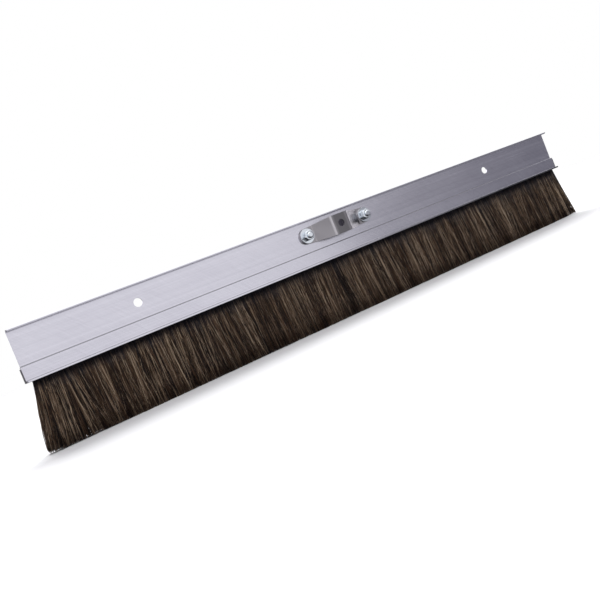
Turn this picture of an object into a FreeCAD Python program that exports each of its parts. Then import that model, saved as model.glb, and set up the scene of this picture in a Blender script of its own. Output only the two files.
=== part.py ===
import FreeCAD, Part
import math
import os
import Sketcher

# A broom head for finishing wet concrete: an aluminium back with a channel along its foot, a strip
# brush of horsehair slid into that channel, and a bent steel bridge bolted on to take the handle.
# Millimetres. +X runs along the head, +Z points up with the bristles hanging down, and -Y is the
# side the bridge is on. The origin is the centre of the handle hole on the bridge's outer face.
#
# Pieces are drawn in a profile frame, with y = 0 on the front of the web and z = 0 at the foot of
# the back. settle() then moves each of them into the part's own frame.

SIZES = [
    ("head_length", 914.4, "length of the aluminium back"),
    ("back_height", 64.5, "foot to top flange"),
    ("wall", 2.0, "wall of the back"),
    ("flange_reach", 9.0, "top flange, forward of the web"),
    ("lip_reach", 9.5, "bottom lip, forward of the web"),
    ("lip_thick", 2.3, "bottom lip and the two rails inside the mouth"),
    ("channel_height", 19.5, "foot to the top of the channel"),
    ("channel_reach", 3.5, "front of the channel, forward of the web"),
    ("channel_inside", 13.0, "inside of the channel, front to back"),
    ("rail_width", 2.0, "each rail that the strip brush slides on, inside the channel"),
    ("corner_round", 0.4, "rounding of the long corners of the back and of the strip's channel"),
    ("brace_spacing", 609.6, "between the two brace holes"),
    ("brace_radius", 5.6, "brace holes"),
    ("bolt_spacing", 101.6, "between the two bridge bolts"),
    ("bolt_rise", 2.0, "bridge bolts and handle hole, above the middle of the web"),
    ("bolt_radius", 3.97, "bolt shank, five sixteenths of an inch across"),
    ("bolt_clearance", 0.4, "bolt to hole, all round"),
    ("bridge_rise", 19.0, "outer face of the bridge above the web"),
    ("strap_thick", 3.0, "steel of the bridge"),
    ("foot_half", 38.6, "middle to the lower bends of the bridge"),
    ("crown_half", 13.6, "middle to the upper bends of the bridge"),
    ("crown_width", 28.0, "bridge at its flat middle"),
    ("tab_radius", 11.0, "rounded ends of the bridge"),
    ("bend_radius", 3.0, "inside of each bend"),
    ("handle_radius", 5.15, "handle hole"),
    ("washer_radius", 10.75, "flat washers"),
    ("washer_thick", 1.8, "flat washers"),
    ("washer_round", 0.35, "rounding of the washer's rim"),
    ("hex_flats", 12.7, "nuts and bolt heads across flats"),
    ("nut_height", 6.8, "nuts"),
    ("bolt_head_height", 5.0, "bolt heads"),
    ("stud_stand_out", 3.3, "end of the bolt past its nut"),
    ("stud_chamfer", 0.9, "chamfer on the end of the bolt"),
    ("slide_gap", 0.3, "strip brush to the channel"),
    ("holder_wall", 1.0, "sheet steel of the strip brush"),
    ("core_radius", 1.5, "wire that the hair is folded over"),
    ("hair_fold", 1.6, "hair between the wire and the strip's roof"),
    ("hair_gap", 0.2, "hair to the metal round it"),
    ("bristle_length", 85.0, "hair below the foot of the back"),
    ("tip_spread", 26.0, "hair at the tips, front to back"),
    ("end_flare", 13.0, "how far the hair fans out past each end of the strip"),
    ("plug_flange", 1.0, "end plug outside the channel"),
    ("plug_depth", 5.0, "end plug inside the channel"),
    ("plug_drop", 2.0, "top of the channel to the top of the plug's flange"),
    ("plug_gap", 0.15, "end plug to the inside of the channel"),
    ("plug_round", 1.0, "rounding of the plug's flange"),
]

# Levels that several pieces share, in the profile frame.
CHANNEL_FRONT = "(sizes.wall - sizes.channel_reach)"
CHANNEL_BACK = f"({CHANNEL_FRONT} + sizes.channel_inside)"
CHANNEL_MIDDLE = f"({CHANNEL_FRONT} + sizes.channel_inside / 2)"
CHANNEL_ROOF = "(sizes.channel_height - sizes.wall)"
BACK_REAR = f"({CHANNEL_BACK} + sizes.wall)"
MOUTH_WIDTH = "(sizes.channel_inside - 2 * sizes.rail_width)"
WEB_MIDDLE = "((sizes.channel_height + sizes.back_height - sizes.wall) / 2)"
BOLT_HEIGHT = f"({WEB_MIDDLE} + sizes.bolt_rise)"
STRIP_HALF = "(sizes.head_length / 2 - sizes.plug_depth - sizes.slide_gap)"
STRIP_WIDTH = "(sizes.channel_inside - 2 * sizes.slide_gap)"
STRIP_TOP = f"({CHANNEL_ROOF} - sizes.slide_gap)"
STRIP_HEM = "(sizes.lip_thick + sizes.holder_wall)"
CORE_HEIGHT = f"({STRIP_TOP} - sizes.holder_wall - sizes.hair_fold - sizes.core_radius)"
WEB_STACK = "(sizes.wall + sizes.washer_thick)"
FRONT_STACK = "(sizes.strap_thick + sizes.washer_thick)"
BOLT_HOLE = "(sizes.bolt_radius + sizes.bolt_clearance)"
BRIDGE_ANGLE = (
    "atan((sizes.bridge_rise - sizes.strap_thick) / (sizes.foot_half - sizes.crown_half))"
)
BEND_SHIFT = f"(sizes.strap_thick * tan({BRIDGE_ANGLE} / 2))"

# How far each hexagon happens to have been turned when it was tightened, in degrees.
NUT_TURN = {"left": 8, "right": 21}
HEAD_TURN = {"left": 17, "right": 4}
SIDES = {"left": -1, "right": 1}

doc = FreeCAD.newDocument("concrete_broom_head")
sizes = doc.addObject("Spreadsheet::Sheet", "sizes")
VALUE = {}
for row, (name, number, words) in enumerate(SIZES, start=1):
    sizes.set(f"A{row}", words)
    sizes.set(f"B{row}", str(number))
    sizes.setAlias(f"B{row}", name)
    VALUE[name] = number
doc.recompute()

nodes = []


# ---------------------------------------------------------------- helpers
def bind(item, **expressions):
    """Tie properties of an object to the sheet; a double underscore stands for a dot."""
    for prop, text in expressions.items():
        item.setExpression(prop.replace("__", "."), text)


def settle(item, label, x="0", y="0", z="0"):
    """Move a finished piece from the profile frame into the part's own, and name it."""
    item.Label = label
    bind(
        item,
        Placement__Base__x=x,
        Placement__Base__y=f"sizes.bridge_rise + {y}",
        Placement__Base__z=f"{z} - {BOLT_HEIGHT}",
    )
    nodes.append(item)


def new_sketch(body, name, role, offset="0", up="0"):
    """A sketch on one of the body's own origin planes, moved along that plane's normal and up it."""
    sketch = body.newObject("Sketcher::SketchObject", name)
    plane = next(item for item in body.Origin.OriginFeatures if item.Role == role)
    sketch.AttachmentSupport = [(plane, "")]
    sketch.MapMode = "FlatFace"
    bind(sketch, AttachmentOffset__Base__y=up, AttachmentOffset__Base__z=offset)
    return sketch


def fix_point(sketch, geometry, vertex, across, up):
    """Hold one point of a sketch at two distances from the sketch's origin."""
    for kind, text in (("DistanceX", across), ("DistanceY", up)):
        index = sketch.addConstraint(Sketcher.Constraint(kind, -1, 1, geometry, vertex, 1.0))
        sketch.setExpression(f"Constraints[{index}]", text)


def draw_outline(sketch, corners):
    """A closed outline of straight lines. It starts as a rough ring of points, which the
    constraints then pull to the corners asked for."""
    first = sketch.GeometryCount
    count = len(corners)
    ring = []
    for step in range(count):
        angle = 2 * math.pi * step / count
        ring.append(FreeCAD.Vector(math.cos(angle), math.sin(angle), 0))
    for step in range(count):
        sketch.addGeometry(Part.LineSegment(ring[step], ring[(step + 1) % count]))
    for step in range(count):
        following = first + (step + 1) % count
        sketch.addConstraint(Sketcher.Constraint("Coincident", first + step, 2, following, 1))
    for step, (across, up) in enumerate(corners):
        fix_point(sketch, first + step, 1, across, up)


def draw_circle(sketch, across, up, radius):
    """A circle held by its centre and radius."""
    circle = Part.Circle(FreeCAD.Vector(), FreeCAD.Vector(0, 0, 1), 1.0)
    index = sketch.addGeometry(circle)
    fix_point(sketch, index, 3, across, up)
    held = sketch.addConstraint(Sketcher.Constraint("Radius", index, 1.0))
    sketch.setExpression(f"Constraints[{held}]", radius)


def pad(body, sketch, length, both_ways=False, backwards=False):
    """Thicken a sketch into a solid."""
    feature = body.newObject("PartDesign::Pad", sketch.Name + "_pad")
    feature.Profile = sketch
    feature.SideType = "Symmetric" if both_ways else "One side"
    feature.Reversed = backwards
    bind(feature, Length=length)
    doc.recompute()
    return feature


def cut_through(body, sketch):
    """Cut a sketch right through the body both ways, and make sure that it took something."""
    before = body.Shape.Volume
    feature = body.newObject("PartDesign::Pocket", sketch.Name + "_cut")
    feature.Profile = sketch
    feature.Type = "ThroughAll"
    feature.SideType = "Symmetric"
    doc.recompute()
    if not feature.Shape.Volume < before:
        raise RuntimeError(f"{feature.Name} cut nothing")
    return feature


def round_edges(body, feature, radius, wanted):
    """Fillet the edges of the body that a test picks out."""
    names = [f"Edge{i}" for i, edge in enumerate(feature.Shape.Edges, start=1) if wanted(edge)]
    fillet = body.newObject("PartDesign::Fillet", feature.Name + "_round")
    fillet.Base = (feature, names)
    bind(fillet, Radius=radius)
    doc.recompute()
    return fillet


def runs_lengthwise(edge):
    """True for an edge that runs the whole length of a long piece."""
    return edge.BoundBox.XLength > VALUE["head_length"] / 2


def upright_at(edge, spots):
    """True for an edge along Z that stands at one of the spots, or at its mirror image in X."""
    box = edge.BoundBox
    near = [math.hypot(abs(box.XMin) - across, box.YMin - up) < 0.01 for across, up in spots]
    return box.ZLength > 1 and any(near)


# ---------------------------------------------------------------- the aluminium back
def make_back():
    """One extrusion: a top flange, a flat web, and the channel that holds the strip brush. The
    foot of the channel is slotted, and runs forward as a thin lip."""
    body = doc.addObject("PartDesign::Body", "back")
    section = new_sketch(body, "back_section", "YZ_Plane")
    mouth_front = f"{CHANNEL_MIDDLE} - {MOUTH_WIDTH} / 2"
    mouth_back = f"{CHANNEL_MIDDLE} + {MOUTH_WIDTH} / 2"
    draw_outline(section, [
        ("-sizes.flange_reach", "sizes.back_height"),
        ("sizes.wall", "sizes.back_height"),
        ("sizes.wall", "sizes.channel_height"),
        (BACK_REAR, "sizes.channel_height"),
        (BACK_REAR, "0"),
        (mouth_back, "0"),
        (mouth_back, "sizes.lip_thick"),
        (CHANNEL_BACK, "sizes.lip_thick"),
        (CHANNEL_BACK, CHANNEL_ROOF),
        (CHANNEL_FRONT, CHANNEL_ROOF),
        (CHANNEL_FRONT, "sizes.lip_thick"),
        (mouth_front, "sizes.lip_thick"),
        (mouth_front, "0"),
        ("-sizes.lip_reach", "0"),
        ("-sizes.lip_reach", "sizes.lip_thick"),
        ("-sizes.channel_reach", "sizes.lip_thick"),
        ("-sizes.channel_reach", "sizes.channel_height"),
        ("0", "sizes.channel_height"),
        ("0", "sizes.back_height - sizes.wall"),
        ("-sizes.flange_reach", "sizes.back_height - sizes.wall"),
    ])
    extrusion = pad(body, section, "sizes.head_length", both_ways=True)
    round_edges(body, extrusion, "sizes.corner_round", runs_lengthwise)
    holes = new_sketch(body, "back_holes", "XZ_Plane")
    for side in SIDES.values():
        brace = f"{side} * sizes.brace_spacing / 2"
        bolt = f"{side} * sizes.bolt_spacing / 2"
        draw_circle(holes, brace, WEB_MIDDLE, "sizes.brace_radius")
        draw_circle(holes, bolt, BOLT_HEIGHT, BOLT_HOLE)
    cut_through(body, holes)
    settle(body, "back_extrusion")


# ---------------------------------------------------------------- the handle bridge
def draw_strap_plan(sketch):
    """The bridge seen from the front, about the line of its bolts: round ends, straight tapers
    that run off them tangentially, and the wider flat middle, inside a rectangle of waste."""
    radius = VALUE["tab_radius"]
    crown = VALUE["crown_half"]
    half = VALUE["crown_width"] / 2
    tapers = {}
    for side in SIDES.values():
        centre = FreeCAD.Vector(side * VALUE["bolt_spacing"] / 2, 0, 0)
        start = -side * math.pi / 2
        circle = Part.Circle(centre, FreeCAD.Vector(0, 0, 1), radius)
        arc = sketch.addGeometry(Part.ArcOfCircle(circle, start, start + math.pi))
        fix_point(sketch, arc, 3, f"{side} * sizes.bolt_spacing / 2", "0")
        held = sketch.addConstraint(Sketcher.Constraint("Radius", arc, radius))
        sketch.setExpression(f"Constraints[{held}]", "sizes.tab_radius")
        for level in (-1, 1):
            tip = centre + FreeCAD.Vector(0, level * radius, 0)
            corner = FreeCAD.Vector(side * crown, level * half, 0)
            taper = sketch.addGeometry(Part.LineSegment(tip, corner))
            arc_end = 1 if level == -side else 2
            sketch.addConstraint(Sketcher.Constraint("Tangent", taper, 1, arc, arc_end))
            across = f"{side} * sizes.crown_half"
            fix_point(sketch, taper, 2, across, f"{level} * sizes.crown_width / 2")
            tapers[side, level] = taper
    for level in (-1, 1):
        left = FreeCAD.Vector(-crown, level * half, 0)
        right = FreeCAD.Vector(crown, level * half, 0)
        edge = sketch.addGeometry(Part.LineSegment(left, right))
        sketch.addConstraint(Sketcher.Constraint("Coincident", edge, 1, tapers[-1, level], 2))
        sketch.addConstraint(Sketcher.Constraint("Coincident", edge, 2, tapers[1, level], 2))
    far = "(sizes.bolt_spacing / 2 + 2 * sizes.tab_radius)"
    high = "(2 * sizes.crown_width)"
    draw_outline(
        sketch, [(f"-{far}", f"-{high}"), (far, f"-{high}"), (far, high), (f"-{far}", high)]
    )


def make_bridge():
    """A steel strap bent four times, so that its middle stands clear of the web and leaves room
    for the handle's nut."""
    body = doc.addObject("PartDesign::Body", "bridge")
    side_view = new_sketch(body, "strap_side", "XY_Plane", offset=BOLT_HEIGHT)
    tab_end = "(sizes.bolt_spacing / 2 + sizes.tab_radius)"
    outer = [
        (tab_end, "-sizes.strap_thick"),
        ("sizes.foot_half", "-sizes.strap_thick"),
        ("sizes.crown_half", "-sizes.bridge_rise"),
    ]
    inner = [
        (f"(sizes.crown_half - {BEND_SHIFT})", "sizes.strap_thick - sizes.bridge_rise"),
        (f"(sizes.foot_half - {BEND_SHIFT})", "0"),
        (tab_end, "0"),
    ]
    right_half = outer[::-1] + inner[::-1]
    left_half = [(f"-{across}", up) for across, up in right_half[::-1]]
    draw_outline(side_view, right_half + left_half)
    strap = pad(body, side_view, "2 * sizes.crown_width", both_ways=True)

    rise = VALUE["bridge_rise"]
    thick = VALUE["strap_thick"]
    slope = math.atan((rise - thick) / (VALUE["foot_half"] - VALUE["crown_half"]))
    shift = thick * math.tan(slope / 2)
    insides = [(VALUE["foot_half"], -thick), (VALUE["crown_half"] - shift, thick - rise)]
    outsides = [(VALUE["foot_half"] - shift, 0.0), (VALUE["crown_half"], -rise)]
    bent = round_edges(body, strap, "sizes.bend_radius", lambda edge: upright_at(edge, insides))
    round_edges(
        body,
        bent,
        "sizes.bend_radius + sizes.strap_thick",
        lambda edge: upright_at(edge, outsides),
    )
    plan = new_sketch(body, "strap_plan", "XZ_Plane", up=BOLT_HEIGHT)
    draw_strap_plan(plan)
    cut_through(body, plan)
    holes = new_sketch(body, "strap_holes", "XZ_Plane", up=BOLT_HEIGHT)
    draw_circle(holes, "0", "0", "sizes.handle_radius")
    for side in SIDES.values():
        draw_circle(holes, f"{side} * sizes.bolt_spacing / 2", "0", BOLT_HOLE)
    cut_through(body, holes)
    settle(body, "handle_bracket")


# ---------------------------------------------------------------- bolts, washers and nuts
# Each is drawn about the line of its own bolt, which settle() then moves to the left or right.
def settle_on_bolt(body, label, side):
    """Put a piece on the left or the right bolt."""
    place = f"{SIDES[side]} * sizes.bolt_spacing / 2"
    settle(body, f"{label}_{side}", x=place, z=BOLT_HEIGHT)


def draw_hexagon(sketch, turn):
    """A hexagon of the size across flats, turned by some degrees."""
    corner = "sizes.hex_flats / sqrt(3)"
    angles = [turn + 60 * step for step in range(6)]
    draw_outline(sketch, [(f"{corner} * cos({a})", f"{corner} * sin({a})") for a in angles])


def chamfer_hexagon(body, name, face, inward):
    """Turn the corners off one end of a hexagon at 30 degrees, with a cone that just reaches its
    flats. face is the level of that end along Y, and inward is the sign of the way in from it."""
    section = new_sketch(body, name + "_cone", "YZ_Plane")
    outside = "sizes.hex_flats"
    draw_outline(section, [
        (face, "sizes.hex_flats / 2"),
        (f"{face} + {inward} * sizes.hex_flats / 2 * tan(30)", outside),
        (face, outside),
    ])
    before = body.Shape.Volume
    groove = body.newObject("PartDesign::Groove", name + "_chamfer")
    groove.Profile = section
    groove.ReferenceAxis = (section, ["H_Axis"])
    groove.Angle = 360
    doc.recompute()
    if not groove.Shape.Volume < before:
        raise RuntimeError(f"{groove.Name} cut nothing")


def make_washer(label, side, start, backwards):
    """A flat washer that starts at a level in front of the web's face."""
    body = doc.addObject("PartDesign::Body", f"{label}_{side}_body")
    rings = new_sketch(body, f"{label}_{side}_rings", "XZ_Plane", offset=start)
    draw_circle(rings, "0", "0", "sizes.washer_radius")
    draw_circle(rings, "0", "0", BOLT_HOLE)
    disc = pad(body, rings, "sizes.washer_thick", backwards=backwards)
    rim = VALUE["washer_radius"] - 0.01
    round_edges(
        body, disc, "sizes.washer_round", lambda edge: getattr(edge.Curve, "Radius", 0) > rim
    )
    settle_on_bolt(body, label, side)


def make_nut(side):
    """A hexagon nut on the front washer, with the thread's major diameter as its bore."""
    body = doc.addObject("PartDesign::Body", f"nut_{side}_body")
    plan = new_sketch(body, f"nut_{side}_plan", "XZ_Plane", offset=FRONT_STACK)
    draw_hexagon(plan, NUT_TURN[side])
    draw_circle(plan, "0", "0", "sizes.bolt_radius")
    pad(body, plan, "sizes.nut_height")
    chamfer_hexagon(body, f"nut_{side}_under", f"-{FRONT_STACK}", -1)
    chamfer_hexagon(body, f"nut_{side}_outer", f"-{FRONT_STACK} - sizes.nut_height", 1)
    settle_on_bolt(body, "nut", side)


def make_bolt(side):
    """A hexagon bolt put in from the back, whose end stands out past the nut."""
    body = doc.addObject("PartDesign::Body", f"bolt_{side}_body")
    top = f"({WEB_STACK} + sizes.bolt_head_height)"
    plan = new_sketch(body, f"bolt_{side}_head", "XZ_Plane", offset=f"-{top}")
    draw_hexagon(plan, HEAD_TURN[side])
    pad(body, plan, "sizes.bolt_head_height")
    chamfer_hexagon(body, f"bolt_{side}_top", top, -1)
    section = new_sketch(body, f"bolt_{side}_shank", "XZ_Plane", offset=f"-{WEB_STACK}")
    draw_circle(section, "0", "0", "sizes.bolt_radius")
    length = f"{WEB_STACK} + {FRONT_STACK} + sizes.nut_height + sizes.stud_stand_out"
    shank = pad(body, section, length)
    tip = min(edge.BoundBox.YMax for edge in shank.Shape.Edges)
    names = [
        f"Edge{i}" for i, edge in enumerate(shank.Shape.Edges, start=1)
        if edge.BoundBox.YMax < tip + 0.01
    ]
    chamfer = body.newObject("PartDesign::Chamfer", f"bolt_{side}_tip")
    chamfer.Base = (shank, names)
    bind(chamfer, Size="sizes.stud_chamfer")
    doc.recompute()
    settle_on_bolt(body, "bolt", side)


# ---------------------------------------------------------------- the strip brush
def make_strip_channel():
    """The folded steel channel of the strip brush, hemmed in at its mouth to grip the hair."""
    body = doc.addObject("PartDesign::Body", "strip_channel")
    section = new_sketch(body, "strip_section", "YZ_Plane")
    half = f"{STRIP_WIDTH} / 2"
    front = f"{CHANNEL_MIDDLE} - {half}"
    back = f"{CHANNEL_MIDDLE} + {half}"
    draw_outline(section, [
        (front, "sizes.lip_thick"),
        (front, STRIP_TOP),
        (back, STRIP_TOP),
        (back, "sizes.lip_thick"),
        (f"{CHANNEL_MIDDLE} + {MOUTH_WIDTH} / 2", "sizes.lip_thick"),
        (f"{CHANNEL_MIDDLE} + {MOUTH_WIDTH} / 2", STRIP_HEM),
        (f"{back} - sizes.holder_wall", STRIP_HEM),
        (f"{back} - sizes.holder_wall", f"{STRIP_TOP} - sizes.holder_wall"),
        (f"{front} + sizes.holder_wall", f"{STRIP_TOP} - sizes.holder_wall"),
        (f"{front} + sizes.holder_wall", STRIP_HEM),
        (f"{CHANNEL_MIDDLE} - {MOUTH_WIDTH} / 2", STRIP_HEM),
        (f"{CHANNEL_MIDDLE} - {MOUTH_WIDTH} / 2", "sizes.lip_thick"),
    ])
    folded = pad(body, section, f"2 * {STRIP_HALF}", both_ways=True)
    whole = folded.Shape.BoundBox

    def on_outside(edge):
        """True for the four long corners of the channel's outside."""
        box = edge.BoundBox
        beside = min(box.YMin - whole.YMin, whole.YMax - box.YMax) < 0.01
        return runs_lengthwise(edge) and beside

    round_edges(body, folded, "sizes.corner_round", on_outside)
    settle(body, "brush_strip_channel")


def make_core_wire():
    """The wire down the middle of the strip, which the hair is folded over."""
    body = doc.addObject("PartDesign::Body", "core")
    section = new_sketch(body, "core_section", "YZ_Plane")
    draw_circle(section, CHANNEL_MIDDLE, CORE_HEIGHT, "sizes.core_radius")
    pad(body, section, f"2 * {STRIP_HALF}", both_ways=True)
    settle(body, "core_wire")


def make_hair():
    """The horsehair as one closed solid: the part gripped in the strip, the neck through the
    mouth, and the part that hangs free and fans out towards its tips."""
    gripped = doc.addObject("Part::Box", "hair_gripped")
    bind(
        gripped,
        Length=f"2 * {STRIP_HALF}",
        Width=f"{STRIP_WIDTH} - 2 * sizes.holder_wall - 2 * sizes.hair_gap",
        Height=f"{STRIP_TOP} - sizes.holder_wall - {STRIP_HEM} - 2 * sizes.hair_gap",
        Placement__Base__x=f"-{STRIP_HALF}",
        Placement__Base__y=f"{CHANNEL_MIDDLE} - {STRIP_WIDTH} / 2 + sizes.holder_wall + sizes.hair_gap",
        Placement__Base__z=f"{STRIP_HEM} + sizes.hair_gap",
    )
    neck = doc.addObject("Part::Box", "hair_neck")
    bind(
        neck,
        Length=f"2 * {STRIP_HALF}",
        Width=f"{MOUTH_WIDTH} - 2 * sizes.hair_gap",
        Height=f"{STRIP_HEM} + 2 * sizes.hair_gap",
        Placement__Base__x=f"-{STRIP_HALF}",
        Placement__Base__y=f"{CHANNEL_MIDDLE} - {MOUTH_WIDTH} / 2 + sizes.hair_gap",
    )
    free = doc.addObject("Part::Wedge", "hair_free")
    free.Placement = FreeCAD.Placement(
        FreeCAD.Vector(), FreeCAD.Rotation(FreeCAD.Vector(1, 0, 0), -90)
    )
    bind(
        free,
        Ymin="0",
        Ymax="sizes.bristle_length",
        Xmin=f"-{STRIP_HALF}",
        Xmax=STRIP_HALF,
        Zmin=f"sizes.hair_gap - {MOUTH_WIDTH} / 2",
        Zmax=f"{MOUTH_WIDTH} / 2 - sizes.hair_gap",
        X2min=f"-{STRIP_HALF} - sizes.end_flare",
        X2max=f"{STRIP_HALF} + sizes.end_flare",
        Z2min="-sizes.tip_spread / 2",
        Z2max="sizes.tip_spread / 2",
        Placement__Base__y=CHANNEL_MIDDLE,
    )
    whole = doc.addObject("Part::MultiFuse", "hair_whole")
    whole.Shapes = [gripped, neck, free]
    core = doc.addObject("Part::Cylinder", "hair_core_space")
    core.Placement = FreeCAD.Placement(
        FreeCAD.Vector(), FreeCAD.Rotation(FreeCAD.Vector(0, 1, 0), 90)
    )
    bind(
        core,
        Radius="sizes.core_radius",
        Height=f"2 * {STRIP_HALF}",
        Placement__Base__x=f"-{STRIP_HALF}",
        Placement__Base__y=CHANNEL_MIDDLE,
        Placement__Base__z=CORE_HEIGHT,
    )
    hair = doc.addObject("Part::Cut", "hair")
    hair.Base = whole
    hair.Tool = core
    doc.recompute()
    settle(hair, "horsehair_fill")


# ---------------------------------------------------------------- end plugs
def make_end_plug(side):
    """A plug pushed into the end of the channel, with a flange against the back's cut end."""
    sign = SIDES[side]
    inward = side == "right"
    body = doc.addObject("PartDesign::Body", f"end_plug_{side}_body")
    end = f"{sign} * sizes.head_length / 2"
    flange = new_sketch(body, f"plug_{side}_flange", "YZ_Plane", offset=end)
    top = "(sizes.channel_height - sizes.plug_drop)"
    draw_outline(flange, [
        ("-sizes.channel_reach", "0"), (BACK_REAR, "0"), (BACK_REAR, top), ("-sizes.channel_reach", top),
    ])
    cover = pad(body, flange, "sizes.plug_flange", backwards=not inward)
    round_edges(
        body,
        cover,
        "sizes.plug_round",
        lambda edge: abs(edge.BoundBox.XLength - VALUE["plug_flange"]) < 0.01,
    )
    tongue = new_sketch(body, f"plug_{side}_tongue", "YZ_Plane", offset=end)
    front = f"({CHANNEL_FRONT} + sizes.plug_gap)"
    back = f"({CHANNEL_BACK} - sizes.plug_gap)"
    low = "(sizes.lip_thick + sizes.plug_gap)"
    high = f"({CHANNEL_ROOF} - sizes.plug_gap)"
    draw_outline(tongue, [(front, low), (back, low), (back, high), (front, high)])
    pad(body, tongue, "sizes.plug_depth", backwards=inward)
    settle(body, f"end_plug_{side}")


make_back()
make_strip_channel()
make_core_wire()
make_hair()
make_bridge()
for side in SIDES:
    make_washer("back_washer", side, "-sizes.wall", backwards=True)
    make_bolt(side)
    make_washer("front_washer", side, "sizes.strap_thick", backwards=False)
    make_nut(side)
    make_end_plug(side)
doc.recompute()

# ---------------------------------------------------------------- check, then write
for item in doc.Objects:
    if "Invalid" in item.State or "Error" in item.State:
        raise RuntimeError(f"{item.Label} did not build: {item.State}")
for node in nodes:
    if node.Shape.isNull() or not node.Shape.isValid() or not node.Shape.Solids:
        raise RuntimeError(f"{node.Label} has no sound solid")

os.makedirs("parts", exist_ok=True)
for node in nodes:
    node.Shape.exportStep(f"parts/{node.Label}.step")
    box = node.Shape.BoundBox
    print(
        f"{node.Label}: {len(node.Shape.Solids)} solid, {node.Shape.Volume / 1000:.2f} cm3, "
        f"x {box.XMin:.1f}..{box.XMax:.1f}, y {box.YMin:.1f}..{box.YMax:.1f}, "
        f"z {box.ZMin:.1f}..{box.ZMax:.1f}"
    )
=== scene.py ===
# %% [markdown]
# # A broom head for finishing concrete
#
# The object is an aluminium back nearly a metre long, a brush of horsehair that hangs from a
# channel in its foot, and a bent steel bridge that takes the handle. The metal parts come from a
# CAD model, which is loaded first and stays where it is. This lesson adds what a CAD model leaves
# out: a light and a camera, the finish of each metal, real threads, and the hair itself.
#
# +X runs along the head, +Z is up, and the bridge is on the -Y side. Everything is in metres.

# %% Load the fixed frame
import math

import bpy
import numpy as np
from mathutils import Matrix, Vector


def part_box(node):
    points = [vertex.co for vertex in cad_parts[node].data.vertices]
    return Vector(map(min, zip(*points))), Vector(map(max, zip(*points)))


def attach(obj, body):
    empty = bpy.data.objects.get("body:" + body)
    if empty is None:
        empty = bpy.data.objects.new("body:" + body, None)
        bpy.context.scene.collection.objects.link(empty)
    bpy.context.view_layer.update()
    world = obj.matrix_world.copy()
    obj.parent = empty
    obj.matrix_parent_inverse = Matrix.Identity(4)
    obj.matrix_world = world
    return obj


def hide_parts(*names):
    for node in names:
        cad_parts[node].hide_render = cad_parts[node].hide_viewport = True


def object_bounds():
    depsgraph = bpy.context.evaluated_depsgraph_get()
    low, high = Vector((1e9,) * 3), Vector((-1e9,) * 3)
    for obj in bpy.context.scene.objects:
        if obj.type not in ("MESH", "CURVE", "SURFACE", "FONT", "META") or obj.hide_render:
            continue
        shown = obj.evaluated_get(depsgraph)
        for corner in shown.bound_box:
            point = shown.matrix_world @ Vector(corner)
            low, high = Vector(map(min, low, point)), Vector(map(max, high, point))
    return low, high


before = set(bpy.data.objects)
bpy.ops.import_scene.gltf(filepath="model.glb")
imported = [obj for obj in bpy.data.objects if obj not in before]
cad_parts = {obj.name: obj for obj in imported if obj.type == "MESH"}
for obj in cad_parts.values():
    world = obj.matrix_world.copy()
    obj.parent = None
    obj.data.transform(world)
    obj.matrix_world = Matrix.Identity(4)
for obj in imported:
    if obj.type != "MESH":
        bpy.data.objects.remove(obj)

MM = 0.001
INCH = 25.4 * MM
cad_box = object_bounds()
back_low, back_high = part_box("back_extrusion")
hair_low, hair_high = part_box("horsehair_fill")
strip_low, strip_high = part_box("brush_strip_channel")
print("CAD box:", [tuple(round(v, 4) for v in corner) for corner in cad_box])


# %% [markdown]
# ## The camera
#
# The camera looks at the head from low in front and to the left, close enough that the near end
# looks clearly taller than the far one. It is also rolled, so that the head climbs across the
# frame. A camera could be made to track a target, but one that never moves is simpler to place by
# its position, the direction that it looks in, and a roll about that direction.

# %% Camera
CAMERA_PLACE = Vector((-0.5028, -0.8010, -0.0374))
CAMERA_DIRECTION = Vector((0.4432, 0.8953, -0.0447))
CAMERA_ROLL = math.radians(22.01)
CAMERA_LENS = 39.9
CAMERA_SENSOR = 36.0


def place_camera():
    """Point a camera along CAMERA_DIRECTION and roll it about that line."""
    data = bpy.data.cameras.new("camera")
    data.lens = CAMERA_LENS
    data.sensor_width = CAMERA_SENSOR
    data.clip_start = 0.01
    camera = bpy.data.objects.new("camera", data)
    bpy.context.scene.collection.objects.link(camera)
    level = CAMERA_DIRECTION.to_track_quat("-Z", "Y").to_matrix().to_4x4()
    camera.matrix_world = (
        Matrix.Translation(CAMERA_PLACE) @ level @ Matrix.Rotation(-CAMERA_ROLL, 4, "Z")
    )
    bpy.context.scene.camera = camera
    return camera


camera = place_camera()
print("camera at", tuple(round(v, 3) for v in camera.location), "lens", CAMERA_LENS)


# %% [markdown]
# ## Floor and light
#
# A bright metal shows the room more than itself, so its look is made by what stands round it.
# One wide soft light in front fills the left half of the web, and past its right edge the metal
# shows a dim room, which gives the web its long fall from bright to grey. A second one at the
# far right catches the bends of the bridge. A broad sun, high and behind, whitens the floor and
# throws the brush's soft shadow forwards. A small strong light, high in front, is there for the
# hair, which is dark and rough. The metal mirrors neither the sun, nor that light, nor the floor,
# or every rounded edge would carry a white line. An environment image could light all this at once,
# but a few plain lights can be changed one at a time.

# %% Floor, lights and background
FLOOR_RADIUS = 8.0
FLOOR_COLOUR = (0.68, 0.68, 0.685, 1.0)
NEAR_ROOM = (0.39, 0.385, 0.415, 1.0)
FAR_ROOM = (0.135, 0.132, 0.162, 1.0)
CEILING = (1.5, 1.5, 1.5, 1.0)
UNDERSIDE = (0.27, 0.27, 0.285, 1.0)
PAGE_COLOUR = (1.0, 1.0, 1.0, 1.0)
SUN_STRENGTH = 5.2
SUN_TRAVEL = (-0.35, -0.68, -0.70)
SUN_ANGLE = math.radians(55)
# Where one part of the room turns into the next, as parts of a direction of length 1.
FAR_ROOM_RIGHT = (0.55, 0.78)
FAR_ROOM_FRONT = (0.0, -0.3)
CEILING_ABOVE = (0.35, 0.70)
UNDERSIDE_BELOW = (-0.12, -0.35)


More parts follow.
